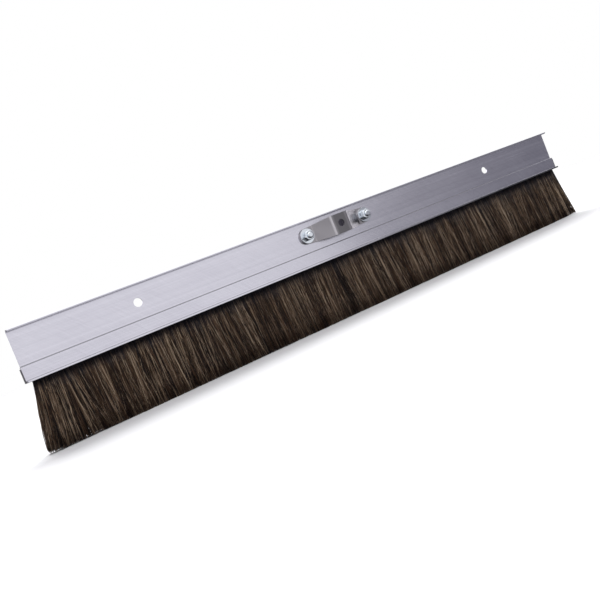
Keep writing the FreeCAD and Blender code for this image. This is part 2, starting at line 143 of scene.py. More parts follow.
def deselect_all():
    """Leave nothing selected, so that the next operator acts on its own piece only."""
    bpy.ops.object.select_all(action="DESELECT")


def flat_material(name, colour, roughness):
    """A plain surface for what isn't part of the object."""
    material = bpy.data.materials.new(name)
    material.use_nodes = True
    shader = material.node_tree.nodes["Principled BSDF"]
    shader.inputs["Base Color"].default_value = colour
    shader.inputs["Roughness"].default_value = roughness
    shader.inputs["Specular IOR Level"].default_value = 0.2
    return material


def make_floor():
    """A round floor at the level of the lowest bristle tips."""
    deselect_all()
    bpy.ops.mesh.primitive_circle_add(
        vertices=96, radius=FLOOR_RADIUS, fill_type="NGON", location=(0, 0, cad_box[0].z)
    )
    floor = bpy.context.object
    floor.name = "floor"
    floor.data.materials.append(flat_material("floor_paint", FLOOR_COLOUR, 0.8))
    floor.visible_glossy = False


def add_soft_light(name, place, aim, width, height, brightness):
    """An area light, with its power worked out from the brightness of its face."""
    data = bpy.data.lights.new(name, "AREA")
    data.shape = "RECTANGLE"
    data.size = width
    data.size_y = height
    data.energy = brightness * math.pi * width * height
    light = bpy.data.objects.new(name, data)
    bpy.context.scene.collection.objects.link(light)
    light.location = place
    light.rotation_euler = (Vector(aim) - Vector(place)).to_track_quat("-Z", "Y").to_euler()
    return light


def add_sun():
    """A wide soft sun that the metal doesn't mirror."""
    data = bpy.data.lights.new("high_sun", "SUN")
    data.energy = SUN_STRENGTH
    data.angle = SUN_ANGLE
    sun = bpy.data.objects.new("high_sun", data)
    bpy.context.scene.collection.objects.link(sun)
    sun.rotation_euler = Vector(SUN_TRAVEL).to_track_quat("-Z", "Y").to_euler()
    sun.visible_glossy = False


def ramp_between(tree, value, start, end):
    """A factor that climbs from 0 to 1 as a value goes from start to end."""
    node = tree.nodes.new("ShaderNodeMapRange")
    node.inputs["From Min"].default_value = start
    node.inputs["From Max"].default_value = end
    tree.links.new(value, node.inputs["Value"])
    return node.outputs["Result"]


def maths(tree, operation, first, second):
    """A Math node whose two inputs are numbers or sockets."""
    node = tree.nodes.new("ShaderNodeMath")
    node.operation = operation
    for slot, value in zip(node.inputs, (first, second)):
        if isinstance(value, (int, float)):
            slot.default_value = value
        else:
            tree.links.new(value, slot)
    return node.outputs[0]


def blend_colours(tree, factor, first, second):
    """One colour turning into another. Each is a colour or a socket."""
    node = tree.nodes.new("ShaderNodeMix")
    node.data_type = "RGBA"
    for slot, colour in (("A", first), ("B", second)):
        if isinstance(colour, tuple):
            node.inputs[slot].default_value = colour
        else:
            tree.links.new(colour, node.inputs[slot])
    tree.links.new(factor, node.inputs["Factor"])
    return node.outputs["Result"]


def make_background():
    """White where the camera looks past the floor. Everything else is lit by a room that is
    darker at its front right, and what mirrors it also shows a pale ceiling and a grey floor,
    which give small bright parts their contrast."""
    world = bpy.data.worlds.new("room")
    world.use_nodes = True
    tree = world.node_tree
    tree.nodes.clear()
    path = tree.nodes.new("ShaderNodeLightPath")
    background = tree.nodes.new("ShaderNodeBackground")
    output = tree.nodes.new("ShaderNodeOutputWorld")
    place = tree.nodes.new("ShaderNodeTexCoord")
    split = tree.nodes.new("ShaderNodeSeparateXYZ")
    tree.links.new(place.outputs["Generated"], split.inputs["Vector"])
    right = ramp_between(tree, split.outputs["X"], *FAR_ROOM_RIGHT)
    in_front = ramp_between(tree, split.outputs["Y"], *FAR_ROOM_FRONT)
    walls = blend_colours(tree, maths(tree, "MULTIPLY", right, in_front), NEAR_ROOM, FAR_ROOM)
    above = ramp_between(tree, split.outputs["Z"], *CEILING_ABOVE)
    below = ramp_between(tree, split.outputs["Z"], *UNDERSIDE_BELOW)
    mirrored = blend_colours(tree, above, walls, CEILING)
    mirrored = blend_colours(tree, below, mirrored, UNDERSIDE)
    unseen = blend_colours(tree, path.outputs["Is Glossy Ray"], walls, mirrored)
    seen = blend_colours(tree, path.outputs["Is Camera Ray"], unseen, PAGE_COLOUR)
    tree.links.new(seen, background.inputs["Color"])
    tree.links.new(background.outputs["Background"], output.inputs["Surface"])
    bpy.context.scene.world = world


make_floor()
make_background()
add_sun()
add_soft_light(
    "front_soft", place=(0.12, -2.3, 0.3), aim=(0.12, 0, 0.3), width=2.6, height=2.6, brightness=0.40
)
add_soft_light(
    "right_soft", place=(2.6, -0.1, 0.5), aim=(0.2, 0, 0), width=1.6, height=1.8, brightness=1.1
)
add_soft_light(
    "left_soft", place=(-2.3, -1.9, 0.4), aim=(-0.2, 0, 0), width=1.3, height=1.8, brightness=0.42
)
key = add_soft_light(
    "key_soft", place=(-0.25, -1.75, 1.45), aim=(0, 0, -0.08), width=0.8, height=0.8, brightness=18.0
)
key.visible_glossy = False
add_soft_light(
    "back_soft", place=(-0.6, 2.4, 0.9), aim=(0, 0, 0), width=2.6, height=1.8, brightness=0.8
)
bpy.context.scene.view_settings.view_transform = "Standard"
print("lights:", sorted(data.name for data in bpy.data.lights))


# %% [markdown]
# ## Shader groups that several finishes share
#
# Rolled, drawn and plated metals differ in colour and gloss, but the marks on them come from the
# same few effects. Each effect is a node group with named inputs, so that a finish only chooses
# values. A group gives out masks and heights. The shader stays in the material.

# %% Helper that builds a group
def new_group(name, inputs, outputs):
    """An empty shader group with float inputs, given as a dictionary of defaults, and outputs."""
    group = bpy.data.node_groups.new(name, "ShaderNodeTree")
    for label, value in inputs.items():
        socket = group.interface.new_socket(label, in_out="INPUT", socket_type="NodeSocketFloat")
        socket.default_value = value
    for label in outputs:
        group.interface.new_socket(label, in_out="OUTPUT", socket_type="NodeSocketFloat")
    start = group.nodes.new("NodeGroupInput")
    end = group.nodes.new("NodeGroupOutput")
    return group, start, end


def stretched_noise(tree, scale, detail=2.0, roughness=0.5):
    """Noise on Object coordinates, scaled apart along X, Y and Z. scale is per metre."""
    place = tree.nodes.new("ShaderNodeTexCoord")
    mapping = tree.nodes.new("ShaderNodeMapping")
    mapping.inputs["Scale"].default_value = scale
    noise = tree.nodes.new("ShaderNodeTexNoise")
    noise.inputs["Scale"].default_value = 1.0
    noise.inputs["Detail"].default_value = detail
    noise.inputs["Roughness"].default_value = roughness
    tree.links.new(place.outputs["Object"], mapping.inputs["Vector"])
    tree.links.new(mapping.outputs["Vector"], noise.inputs["Vector"])
    return noise.outputs["Fac"]


# %% [markdown]
# ## Marks that the metals share
#
# A die leaves lines along an extrusion. Handling leaves slow patches and slanting scratches, and
# rolled or plated steel has a fine even grain. All four are noise, stretched differently. Painted
# textures could show them too, but noise on Object coordinates has no seams and stays sharp on a
# piece nearly a metre long. Painted shade in a corner is something else: a band across one
# coordinate.

# %% Lines, blotches, grain, scratches and bands
def build_die_lines():
    """Lines that a die leaves along an extrusion: fine ones, a few broad ones, and both mixed."""
    group, start, end = new_group("die_lines", {"Fine": 0.5, "Broad": 0.5}, ["Lines"])
    fine = stretched_noise(group, (1.5, 2600.0, 2600.0), detail=3.0, roughness=0.6)
    broad = stretched_noise(group, (0.35, 240.0, 240.0), detail=1.0)
    fine_part = maths(group, "MULTIPLY", maths(group, "SUBTRACT", fine, 0.5), start.outputs["Fine"])
    broad_part = maths(
        group, "MULTIPLY", maths(group, "SUBTRACT", broad, 0.5), start.outputs["Broad"]
    )
    group.links.new(maths(group, "ADD", fine_part, broad_part), end.inputs["Lines"])
    return group


def build_blotches():
    """Slow, uneven patches of handling and oxide, from -0.5 to 0.5 times the amount."""
    group, start, end = new_group("blotches", {"Amount": 1.0}, ["Patch"])
    wide = stretched_noise(group, (14.0, 30.0, 30.0), detail=3.0, roughness=0.55)
    centred = maths(group, "SUBTRACT", wide, 0.5)
    group.links.new(maths(group, "MULTIPLY", centred, start.outputs["Amount"]), end.inputs["Patch"])
    return group


def build_grain():
    """Fine even grain, as on rolled or plated steel."""
    group, start, end = new_group("grain", {"Amount": 1.0}, ["Grain"])
    speck = stretched_noise(group, (1800.0, 1800.0, 1800.0), detail=2.0)
    centred = maths(group, "SUBTRACT", speck, 0.5)
    group.links.new(maths(group, "MULTIPLY", centred, start.outputs["Amount"]), end.inputs["Grain"])
    return group


def build_scratches():
    """Fine slanting marks, from handling and wiping, from -0.5 to 0.5 times the amount."""
    group, start, end = new_group("scratches", {"Amount": 1.0}, ["Marks"])
    place = group.nodes.new("ShaderNodeTexCoord")
    turn = group.nodes.new("ShaderNodeMapping")
    turn.inputs["Rotation"].default_value = (0.0, math.radians(-48), 0.0)
    stretch = group.nodes.new("ShaderNodeMapping")
    stretch.inputs["Scale"].default_value = (40.0, 40.0, 900.0)
    noise = group.nodes.new("ShaderNodeTexNoise")
    noise.inputs["Scale"].default_value = 1.0
    noise.inputs["Detail"].default_value = 3.0
    group.links.new(place.outputs["Object"], turn.inputs["Vector"])
    group.links.new(turn.outputs["Vector"], stretch.inputs["Vector"])
    group.links.new(stretch.outputs["Vector"], noise.inputs["Vector"])
    centred = maths(group, "SUBTRACT", noise.outputs["Fac"], 0.5)
    group.links.new(maths(group, "MULTIPLY", centred, start.outputs["Amount"]), end.inputs["Marks"])
    return group


def build_band():
    """A soft-edged band: 1 where a coordinate is within some distance of a middle, else 0."""
    group, start, end = new_group("band", {"Coordinate": 0.0, "Middle": 0.0, "Half": 1.0}, ["Mask"])
    away = maths(group, "SUBTRACT", start.outputs["Coordinate"], start.outputs["Middle"])
    share = maths(group, "DIVIDE", maths(group, "ABSOLUTE", away, 0.0), start.outputs["Half"])
    group.links.new(ramp_between(group, share, 1.0, 0.6), end.inputs["Mask"])
    return group


band = build_band()
die_lines = build_die_lines()
blotches = build_blotches()
grain = build_grain()
scratches = build_scratches()
print("shader groups:", [group.name for group in (band, die_lines, blotches, grain, scratches)])


# %% [markdown]
# ## Putting a finish together
#
# In each finish below, marks are added up to one factor, the factor chooses a colour and a
# roughness, and soil darkens the colour where a mask is 1. These helpers do the wiring, so that a
# finish is down to the lines that say what it looks like.

# %% Helpers that put a finish together
def new_finish(name):
    """A material with its tree, and its Principled shader."""
    material = bpy.data.materials.new(name)
    material.use_nodes = True
    return material, material.node_tree, material.node_tree.nodes["Principled BSDF"]


def use_group(tree, group, **values):
    """Place a shared group in a material, with its own values."""
    node = tree.nodes.new("ShaderNodeGroup")
    node.node_tree = group
    for label, value in values.items():
        node.inputs[label].default_value = value
    return node.outputs[0]


def object_axes(tree):
    """The three Object coordinates, which are the object's own metres."""
    place = tree.nodes.new("ShaderNodeTexCoord")
    split = tree.nodes.new("ShaderNodeSeparateXYZ")
    tree.links.new(place.outputs["Object"], split.inputs["Vector"])
    return split.outputs["X"], split.outputs["Y"], split.outputs["Z"]


def facing_up(tree):
    """How far a surface faces up: 1 where it looks up, 0 on a wall, -1 where it looks down."""
    surface = tree.nodes.new("ShaderNodeNewGeometry")
    split = tree.nodes.new("ShaderNodeSeparateXYZ")
    tree.links.new(surface.outputs["True Normal"], split.inputs["Vector"])
    return split.outputs["Z"]


def band_mask(tree, coordinate, middle, half):
    """The shared band group, on a coordinate of this material."""
    node = tree.nodes.new("ShaderNodeGroup")
    node.node_tree = band
    node.inputs["Middle"].default_value = middle
    node.inputs["Half"].default_value = half
    tree.links.new(coordinate, node.inputs["Coordinate"])
    return node.outputs["Mask"]


def darken_by(tree, colour, mask, amount):
    """A colour multiplied down by amount where a mask is 1."""
    kept = maths(tree, "SUBTRACT", 1.0, maths(tree, "MULTIPLY", mask, amount))
    node = tree.nodes.new("ShaderNodeVectorMath")
    node.operation = "SCALE"
    tree.links.new(colour, node.inputs[0])
    tree.links.new(kept, node.inputs["Scale"])
    return node.outputs["Vector"]


def tint(tree, dark, light, factor):
    """A colour between two, by a factor that may be a sum of masks."""
    return blend_colours(tree, factor, (*dark, 1.0), (*light, 1.0))


def add_bump(tree, shader, height, distance, strength):
    """Bump from a height, with a real depth in metres."""
    bump = tree.nodes.new("ShaderNodeBump")
    bump.inputs["Strength"].default_value = strength
    bump.inputs["Distance"].default_value = distance
    tree.links.new(height, bump.inputs["Height"])
    tree.links.new(bump.outputs["Normal"], shader.inputs["Normal"])


def centred_on(tree, middle, *parts):
    """middle plus every part."""
    total = middle
    for part in parts:
        total = maths(tree, "ADD", part, total)
    return total


def dress(material, *names):
    """Give one finish to CAD pieces, in every material slot that they have."""
    for name in names:
        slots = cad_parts[name].data.materials
        slots.clear()
        slots.append(material)


# %% [markdown]
# ## Mill-finish aluminium
#
# The back is aluminium straight from the press: bright, a little blue, and drawn with lines along
# its length. Painted shade sits in its long inside corners, and thins out to the right in the lower
# two. The lip is bright at the left and painted darker to the right, a painted shade that dims its
# highlight there, and the cut ends of the flange and the lip are darker. This shade could be found
# from the shape with an ambient occlusion node, but bands at known heights are cheaper and come
# out the same after baking.

# %% Mill-finish aluminium
PLUG_DROP = 2.0 * MM
WALL = 2.0 * MM
LIP_THICK = 2.3 * MM
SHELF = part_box("end_plug_left")[1].z + PLUG_DROP
FLANGE_UNDER = back_high.z - WALL
LIP_TOP = back_low.z + LIP_THICK
SHADE_RISE = 0.2 * MM
SHELF_SHADE = 0.9 * MM
CREASE_SHADE = 0.7 * MM
FLANGE_SHADE = 1.6 * MM
SHELF_DARK = 0.6
CREASE_DARK = 0.45
FLANGE_DARK = 0.10
SHADE_FADE = 0.42
FRONT_DEPTH = 5.0 * MM
LIP_HEIGHT = 4.0 * MM
END_LENGTH = 2.0 * MM
SHADE_FADE_STRETCH = (0.10, 0.36)
LIP_SHADE_STRETCH = (-0.05, 0.30)


def paint_corner_shade(tree, colour, x, z):
    """Painted shade on the channel's shelf, above the lip and under the flange. The first two thin
    out to the right."""
    # Painted shade: bands that darken the shelf, the lip's corner and the flange's underside.
    less_shade = maths(tree, "MULTIPLY", ramp_between(tree, x, *SHADE_FADE_STRETCH), -SHADE_FADE)
    shade_factor = maths(tree, "ADD", less_shade, 1.0)
    for level, half, amount in ((SHELF, SHELF_SHADE, SHELF_DARK), (LIP_TOP, CREASE_SHADE, CREASE_DARK)):
        line = maths(tree, "MULTIPLY", shade_factor, band_mask(tree, z, level + SHADE_RISE, half))
        colour = darken_by(tree, colour, line, amount)
    return darken_by(tree, colour, band_mask(tree, z, FLANGE_UNDER, FLANGE_SHADE), FLANGE_DARK)


def darken_ends_and_lip(tree, colour, x, y, z):
    """Darker cut ends on the flange and the lip, and painted shade on the lip that grows to the
    right.
    """
    front = band_mask(tree, y, back_low.y, FRONT_DEPTH)
    ends = band_mask(tree, maths(tree, "ABSOLUTE", x, 0.0), back_high.x, END_LENGTH)
    colour = darken_by(tree, colour, maths(tree, "MULTIPLY", front, ends), 0.6)
    # Painted shade along the lip, growing to the right, which dims its highlight there.
    lip = maths(tree, "MULTIPLY", front, band_mask(tree, z, back_low.z, LIP_HEIGHT))
    lip = maths(tree, "MULTIPLY", lip, ramp_between(tree, x, *LIP_SHADE_STRETCH))
    return darken_by(tree, colour, lip, 0.75)


def make_aluminium():
    """Aluminium with die lines and scratches in its colour and its gloss, the lines in its
    surface too, painted shade in its inside corners, and darker ends and lip."""
    material, tree, shader = new_finish("mill_aluminium")
    lines = use_group(tree, die_lines, Fine=0.85, Broad=0.75)
    patch = use_group(tree, blotches, Amount=0.6)
    marks = use_group(tree, scratches, Amount=0.7)
    shade = centred_on(tree, 0.5, lines, patch, marks)
    colour = tint(tree, (0.67, 0.66, 0.73), (0.89, 0.88, 0.95), shade)
    x, y, z = object_axes(tree)
    # Painted shade in the inside corners.
    colour = paint_corner_shade(tree, colour, x, z)
    colour = darken_ends_and_lip(tree, colour, x, y, z)
    tree.links.new(colour, shader.inputs["Base Color"])
    gloss = maths(tree, "MULTIPLY", shade, 0.12)
    tree.links.new(maths(tree, "ADD", gloss, 0.16), shader.inputs["Roughness"])
    shader.inputs["Metallic"].default_value = 1.0
    add_bump(tree, shader, lines, 0.02 * MM, 0.5)
    return material


aluminium = make_aluminium()
dress(aluminium, "back_extrusion")
print("inside corners at z", [round(level, 4) for level in (SHELF, LIP_TOP, FLANGE_UNDER)])


# %% [markdown]
# ## Rolled steel
#
# The bridge is plain rolled steel, darker and warmer than the aluminium. Its two upper bends carry
# a painted highlight, the left one most, the flat between them is painted darker as a dull
# reflection, and its sheared edges are painted dark as a dark reflection.
# The strap lies along X, so its edges are simply the faces that look up or down, however it bends.

# %% Rolled steel
CROWN_HALF = 13.6 * MM
BEND_MIDDLE = CROWN_HALF + 0.4 * MM
BEND_HALF = 1.9 * MM
RIGHT_BEND_SHARE = 0.25
BEND_HIGHLIGHT = (0.64, 0.62, 0.64, 1.0)
SHEARED_EDGE = (0.4, 0.7)


def make_bridge_steel():
    """Steel strap as it comes from the roll: satin, with grain and dull patches, a painted highlight
    along its two upper bends, and painted dark reflection between them and on its sheared edges."""
    material, tree, shader = new_finish("rolled_steel")
    patch = use_group(tree, blotches, Amount=1.2)
    speck = use_group(tree, grain, Amount=0.5)
    shade = centred_on(tree, 0.5, patch, speck)
    colour = tint(tree, (0.37, 0.355, 0.37), (0.54, 0.52, 0.54), shade)
    x = object_axes(tree)[0]
    # Painted dark reflection on the flat crown between the bends.
    colour = darken_by(tree, colour, band_mask(tree, x, 0.0, CROWN_HALF), 0.5)
    # Painted highlight along the two bends, the left one most.
    left_bend = band_mask(tree, x, -BEND_MIDDLE, BEND_HALF)
    right_bend = band_mask(tree, x, BEND_MIDDLE, BEND_HALF)
    bends = maths(tree, "ADD", left_bend, maths(tree, "MULTIPLY", right_bend, RIGHT_BEND_SHARE))
    colour = blend_colours(tree, bends, colour, BEND_HIGHLIGHT)
    # Painted dark reflection on the sheared edges, the faces that look up or down.
    sheared = ramp_between(tree, maths(tree, "ABSOLUTE", facing_up(tree), 0.0), *SHEARED_EDGE)
    colour = darken_by(tree, colour, sheared, 0.75)
    tree.links.new(colour, shader.inputs["Base Color"])
    gloss = maths(tree, "MULTIPLY", shade, 0.18)
    tree.links.new(maths(tree, "ADD", gloss, 0.23), shader.inputs["Roughness"])
    shader.inputs["Metallic"].default_value = 1.0
    add_bump(tree, shader, speck, 0.02 * MM, 0.4)
    return material


bridge_steel = make_bridge_steel()
dress(bridge_steel, "handle_bracket")
print("bends of the bridge at x", round(-BEND_MIDDLE, 4), round(BEND_MIDDLE, 4))


# %% [markdown]
# ## Zinc plate and galvanised sheet
#
# Washers, nuts and bolts are zinc plated, which is brighter and bluer than steel. The strip's own
# channel and wire are galvanised, a thicker and duller coat of the same metal. One function makes
# both, so that they differ only in their values.

# %% Zinc plate and galvanised sheet
LOOKS_DOWN = (-0.35, -0.6)


def make_zinc(name, dark, light, rough, underside_shade):
    """A zinc coat, either bright plating or the duller coat of galvanised sheet. The faces that
    look down are painted darker by the last amount, as painted shade."""
    material, tree, shader = new_finish(name)
    speck = use_group(tree, grain, Amount=0.5)
    patch = use_group(tree, blotches, Amount=0.8)
    shade = centred_on(tree, 0.5, speck, patch)
    # Painted shade on the faces that look down.
    underside = ramp_between(tree, facing_up(tree), *LOOKS_DOWN)
    colour = darken_by(tree, tint(tree, dark, light, shade), underside, underside_shade)
    tree.links.new(colour, shader.inputs["Base Color"])
    tree.links.new(
        maths(tree, "ADD", maths(tree, "MULTIPLY", shade, 0.1), rough), shader.inputs["Roughness"]
    )
    shader.inputs["Metallic"].default_value = 1.0
    add_bump(tree, shader, speck, 0.01 * MM, 0.4)
    return material


zinc_plate = make_zinc(
    "zinc_plate", dark=(0.72, 0.77, 0.82), light=(0.90, 0.94, 0.98), rough=0.05, underside_shade=0.85
)
galvanised = make_zinc(
    "galvanised_sheet", dark=(0.42, 0.43, 0.44), light=(0.60, 0.61, 0.62), rough=0.38, underside_shade=0.0
)
dress(zinc_plate, "front_washer_left", "front_washer_right", "back_washer_left", "back_washer_right")
dress(galvanised, "brush_strip_channel", "core_wire")
print("zinc finishes:", zinc_plate.name, galvanised.name)


# %% [markdown]
# ## Moulded plastic
#
# The end plugs close the two ends of the channel. They are dark plastic with the even texture of
# their mould, and a grain in the colour and in the surface is all that it takes.

# %% Moulded plastic
def make_plug_plastic():
    """Dark moulded plastic with a fine even texture."""
    material, tree, shader = new_finish("plug_plastic")
    speck = use_group(tree, grain, Amount=0.8)
    shade = centred_on(tree, 0.5, speck)
    tree.links.new(
        tint(tree, (0.035, 0.032, 0.038), (0.065, 0.06, 0.07), shade), shader.inputs["Base Color"]
    )
    shader.inputs["Roughness"].default_value = 0.5
    add_bump(tree, shader, speck, 0.03 * MM, 0.5)
    return material


plug_plastic = make_plug_plastic()
dress(plug_plastic, "end_plug_left", "end_plug_right")
print("plugs in", plug_plastic.name)


# %% [markdown]
# ## Horsehair
#
# Horsehair for a broom is a mix of dark brown, grey and tan hair, cut to one length. It leaves the
# steel strip as a tight row, spreads towards its tips, and fans out past both ends where nothing
# holds it in. The hairs gather into locks that lean a little one way or the other.
#
# Blender's particle hair can't be exported as a mesh, so each hair is a thin three-sided rod. The
# rods could be added one by one with operators, but there are tens of thousands of them, so their
# middle lines are worked out together with numpy. The rods are thicker than real horsehair and far
# fewer, which closes the brush with a number of faces that can be handled.

# %% How the hair hangs
TUFT_COUNT = 8600
HAIRS_IN_TUFT = 5
STRAY_COUNT = 6000
HAIR_PIECES = 8
HAIR_RADIUS = 0.27 * MM
ROOT_HALF_DEPTH = 4.0 * MM
TIP_HALF_DEPTH = 11.6 * MM
ROOT_ABOVE_FOOT = 2.0 * MM
LEVELS = np.array([0.0, 0.24, 0.50, 0.76, 1.0])
SIDES = 3

foot = back_low.z
tip_level = hair_low.z
hair_middle = (hair_low.y + hair_high.y) / 2
left_root = strip_low.x + 1.5 * MM
right_root = strip_high.x - 0.2 * MM
root_level = foot + ROOT_ABOVE_FOOT
LEFT_FAN = 13.0 * MM
RIGHT_FAN = 8.0 * MM
FAN_REACH = 45.0 * MM
FAN_PUSH = 1.25
LOOSE_SHARE = 0.12
WORN_LENGTH = 60.0 * MM
WORN_DEPTH = 0.7 * MM
CORNER_LENGTH = 16.0 * MM
CORNER_DEPTH = 2.8 * MM
# Waves along the head, each given as (length, size, phase).
TRIM_WAVES = ((330 * MM, 0.6 * MM, 1.0), (120 * MM, 0.5 * MM, 0.2), (19 * MM, 0.5 * MM, 2.2))
LEAN_WAVES = ((230 * MM, 2.6 * MM, 0.4), (97 * MM, 2.2 * MM, 2.0), (43 * MM, 1.6 * MM, 4.0))
TONE_WAVES = ((61 * MM, 0.04, 1.2), (23 * MM, 0.04, 0.3))
ROOT_SHADE_WAVES = ((57 * MM, 0.10, 0.0), (17 * MM, 0.08, 1.0))
# Dark, grey-brown and tan hair: how pale each is, and how much of the brush it makes up.
TONE_OF_KIND = np.array([0.08, 0.48, 0.88])
SHARE_OF_KIND = (0.46, 0.30, 0.24)
rng = np.random.default_rng(20)


def slow_wave(x, waves):
    """A sum of sine waves along the head, which bends neighbouring hairs alike."""
    total = np.zeros_like(x)
    for length, size, phase in waves:
        total += size * np.sin(2 * np.pi * x / length + phase)
    return total


def near_left_end(x, reach, power):
    """1 at the left end of the brush, falling to 0 at some distance from it."""
    return np.clip(1 - (x - left_root) / reach, 0, 1) ** power


def fan_at_ends(x):
    """How far the tips of the hairs near each end are pushed outwards."""
    left = near_left_end(x, FAN_REACH, 1.4) * LEFT_FAN
    right = np.clip(1 - (right_root - x) / FAN_REACH, 0, 1) ** 1.4 * RIGHT_FAN
    return FAN_PUSH * (right - left)


def hold_ends(lines):
    """Press back the hairs that lean out past either end, so that both ends stay dense. The left
    end bulges, and the right end is straight."""
    share = np.clip((root_level - lines[:, :, 2]) / (root_level - tip_level), 0, 1)
    left = left_root - LEFT_FAN * (1 - (1 - share) ** 1.7)
    right = right_root + RIGHT_FAN * share
    past_left = np.maximum(left - lines[:, :, 0], 0)
    past_right = np.maximum(lines[:, :, 0] - right, 0)
    lines[:, :, 0] += (1 - LOOSE_SHARE) * (past_left - past_right)


def trim_of_tips(x, outside):
    """How far short of the lowest tips the hair is cut: a little uneven on the outside, and
    rounded off where the left end has worn."""
    uneven = 1.2 * MM - slow_wave(x, TRIM_WAVES)
    worn = near_left_end(x, WORN_LENGTH, 0.7) * WORN_DEPTH
    corner = near_left_end(x, CORNER_LENGTH, 1.6) * CORNER_DEPTH
    return uneven * np.where(outside, 1.0, 0.3) + worn + corner


# %% [markdown]
# ## Tufts and strays
#
# A single hair placed at random gives an even, furry brush. Real horsehair gathers, so tufts are
# placed first and each gets a few hairs round its middle. Loose hairs on the outside then cross
# the tufts. Every random number comes from one seeded generator, so each run gives the same brush.

# %% Tufts and strays
def grow_tufts(count):
    """Roots, tips and tones of the tufts that the hair gathers into."""
    x = np.linspace(left_root, right_root, count) + rng.normal(0, 3.0 * MM, count)
    x = left_root + np.abs(x - left_root)
    x = right_root - np.abs(right_root - x)
    depth = rng.uniform(-1, 1, count)
    outer = rng.random(count) < 0.5
    depth[outer] = np.sign(depth[outer]) * (1 - 0.22 * rng.random(outer.sum()))
    lean = slow_wave(x, LEAN_WAVES)
    lean += 1.5 * MM + rng.normal(0, 3.6 * MM, count)
    root = np.stack([x, hair_middle + depth * ROOT_HALF_DEPTH, np.full(count, root_level)], 1)
    tip_y = hair_middle + depth * TIP_HALF_DEPTH + rng.normal(0, 0.9 * MM, count)
    tip_z = tip_level + trim_of_tips(x, np.abs(depth) > 0.7)
    tip = np.stack([x + lean + fan_at_ends(x), tip_y, tip_z], 1)
    kind = rng.choice(len(TONE_OF_KIND), count, p=SHARE_OF_KIND)
    tone = TONE_OF_KIND[kind] + rng.normal(0, 0.07, count)
    tone += slow_wave(x, TONE_WAVES)
    return root, tip, tone


def hairs_in_tufts(root, tip, tone):
    """The hairs of every tuft, set round its middle at the root and at the tip."""
    count = len(root) * HAIRS_IN_TUFT
    tuft = np.repeat(np.arange(len(root)), HAIRS_IN_TUFT)
    gather = rng.uniform(0.35, 1.35, len(root))[tuft, None]
    spread = rng.normal(0, 1, (count, 2)) * 0.32 * MM
    hair_root = root[tuft].copy()
    hair_tip = tip[tuft].copy()
    hair_root[:, :2] += spread
    hair_tip[:, :2] += spread * gather + rng.normal(0, 0.25 * MM, (count, 2))
    hair_tip[:, 2] += rng.normal(0, 0.75 * MM, count)
    hair_tone = tone[tuft] + rng.normal(0, 0.06, count)
    return hair_root, hair_tip, hair_tone, tuft


def stray_hairs(count):
    """Single hairs on the outside that lean their own way, many of them pale."""
    root, tip, tone = grow_tufts(count)
    side = rng.choice((-1.0, 1.0), count)
    root[:, 1] = hair_middle + side * ROOT_HALF_DEPTH
    tip[:, 0] += rng.normal(0, 5.5 * MM, count)
    tip[:, 1] = hair_middle + side * (TIP_HALF_DEPTH + rng.normal(0.2 * MM, 0.4 * MM, count))
    return root, tip, tone + rng.uniform(-0.1, 0.25, count)


# %% [markdown]
# ## Bending the hairs
#
# Each hair runs from its root to its tip through a few levels. Hairs of one tuft bow alike, and
# each has a small wave of its own. Last, the ends are pressed in and every hair is kept inside
# the space that the CAD model gives to the hair.

# %% Bend the hairs
def bend_hairs(root, tip, group, bow, wave):
    """The middle line of each hair at LEVELS. Hairs with the same group number bow alike, and
    each has a small wave of its own."""
    ease = LEVELS**1.2
    share = np.stack([ease, ease, LEVELS], 1)
    line = root[:, None, :] + (tip - root)[:, None, :] * share[None, :, :]
    groups = group.max() + 1
    arch = 4 * LEVELS * (1 - LEVELS)
    swing = LEVELS * np.sin(1.5 * np.pi * LEVELS)
    for axis, size in ((0, bow), (1, 0.5 * bow)):
        line[:, :, axis] += rng.normal(0, size, groups)[group, None] * arch
        line[:, :, axis] += rng.normal(0, 0.6 * size, groups)[group, None] * swing
        line[:, :, axis] += rng.normal(0, wave, len(root))[:, None] * arch
    return line


def grow_brush():
    """Lines and tones of every hair in the brush, kept inside the space that it may fill."""
    root, tip, tone, tuft = hairs_in_tufts(*grow_tufts(TUFT_COUNT))
    lines = bend_hairs(root, tip, tuft, 0.8 * MM, 0.22 * MM)
    root, tip, stray_tone = stray_hairs(STRAY_COUNT)
    strays = bend_hairs(root, tip, np.arange(STRAY_COUNT), 1.6 * MM, 0.3 * MM)
    lines = np.concatenate([lines, strays])
    tone = np.clip(np.concatenate([tone, stray_tone]), 0.0, 1.0)
    hold_ends(lines)
    lines[:, :, 1] = np.clip(lines[:, :, 1], hair_low.y + HAIR_RADIUS, hair_high.y - HAIR_RADIUS)
    lines[:, :, 2] = np.maximum(lines[:, :, 2], tip_level)
    return lines, tone


lines, tone = grow_brush()
tip_x = lines[:, -1, 0]
print("hairs:", len(lines), "tips from x", round(tip_x.min(), 4), "to", round(tip_x.max(), 4))


# %% [markdown]
# ## The finish of the hair
#
# One material dresses every hair. Noise in space could vary its colour, but it would cut across
# the hairs, so each hair carries a tone of its own and a ramp turns the tone into a colour. A
# second number, the way along the hair, paints the roots nearly black: a painted shade where the
# hair is packed tight under the lip.

# %% Hair finish
# Painted shade at the roots: its colour, and the part of the way along that it covers.
ROOT_SHADE_COLOUR = (0.009, 0.010, 0.015, 1.0)
SHADED_PART = (0.03, 0.17)
SHADE_LIFT = 0.88
HAIR_COLOURS = (
    (0.00, (0.004, 0.002, 0.002)),
    (0.15, (0.008, 0.004, 0.003)),
    (0.30, (0.024, 0.010, 0.005)),
    (0.42, (0.034, 0.020, 0.010)),
    (0.55, (0.060, 0.030, 0.016)),
    (0.68, (0.084, 0.053, 0.032)),
    (0.83, (0.145, 0.098, 0.064)),
    (1.00, (0.310, 0.236, 0.168)),
)


def read_attribute(tree, name):
    """A number that is stored on the hair."""
    node = tree.nodes.new("ShaderNodeAttribute")
    node.attribute_name = name
    return node.outputs["Fac"]


